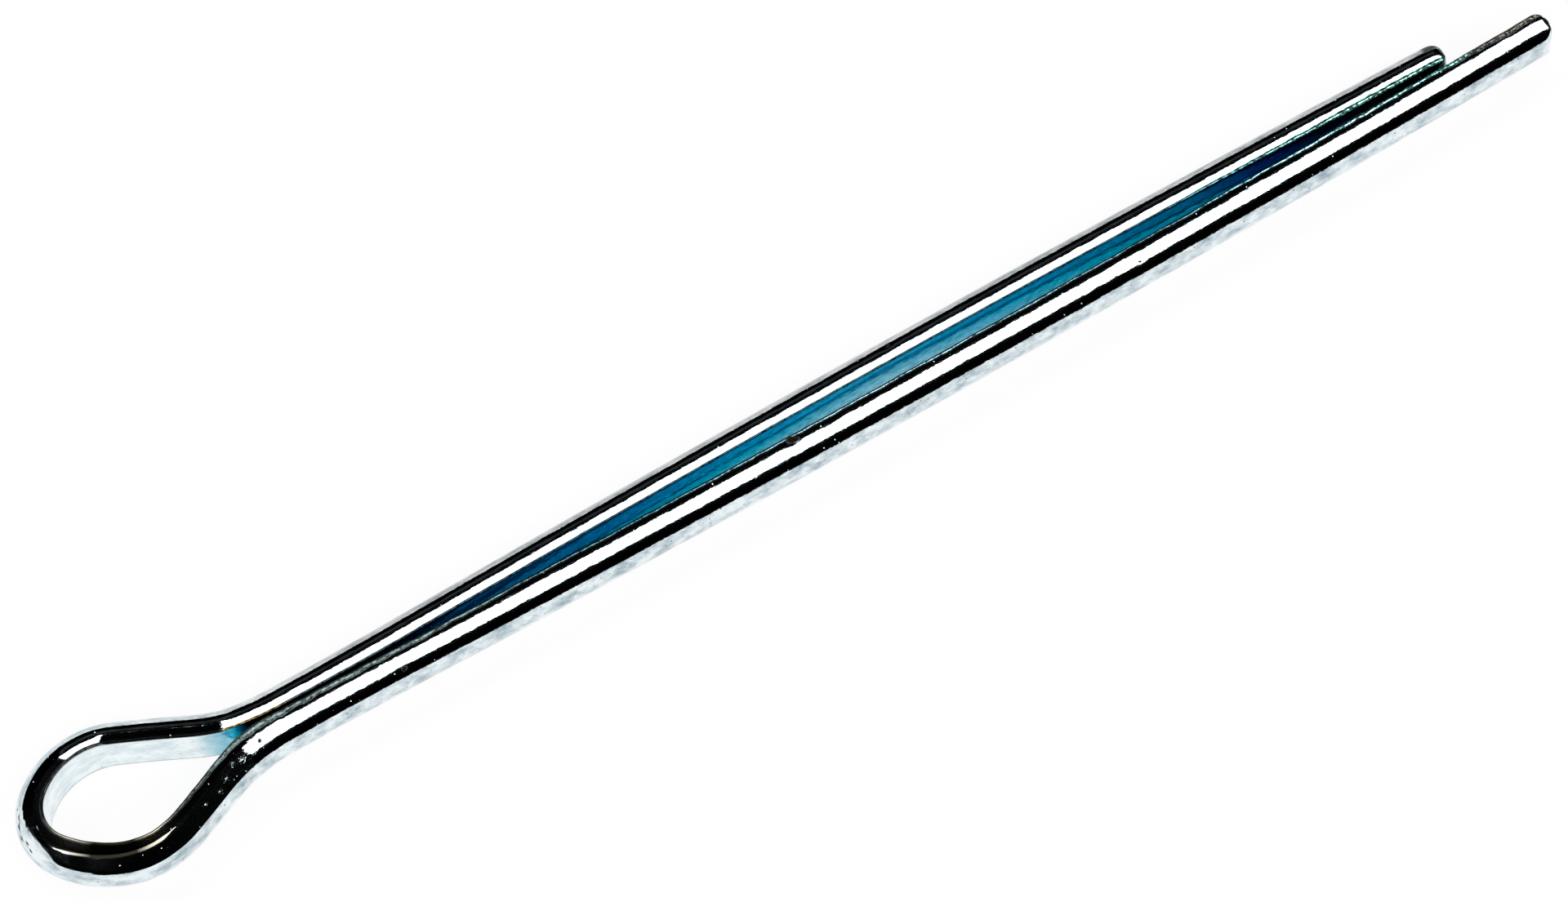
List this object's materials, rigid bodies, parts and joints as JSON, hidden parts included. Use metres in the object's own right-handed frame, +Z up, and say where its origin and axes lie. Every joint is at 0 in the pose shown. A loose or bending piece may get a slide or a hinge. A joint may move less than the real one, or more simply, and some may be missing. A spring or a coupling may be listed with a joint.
{
  "type": "cotter pin",
  "caption": "Split cotter pin bent from half-round steel wire, with an open teardrop eye and two legs, one longer than the other.",
  "frame": {"origin": "on the shank's axis, where the eye's last bend ends and the two legs begin to run parallel", "axes": "+X along the shank towards the tips, +Y across the legs towards the shorter one, +Z up, square to the plane of the eye; the pin lies flat"},
  "size_m": [0.0999, 0.0101, 0.0036],
  "materials": {
    "zinc": "bright zinc plate with a faint blue passivation, smooth, with light mottling and a few small stains"
  },
  "bodies": {
    "root": {"cotter_pin": "zinc"}
  },
  "joints": []
}
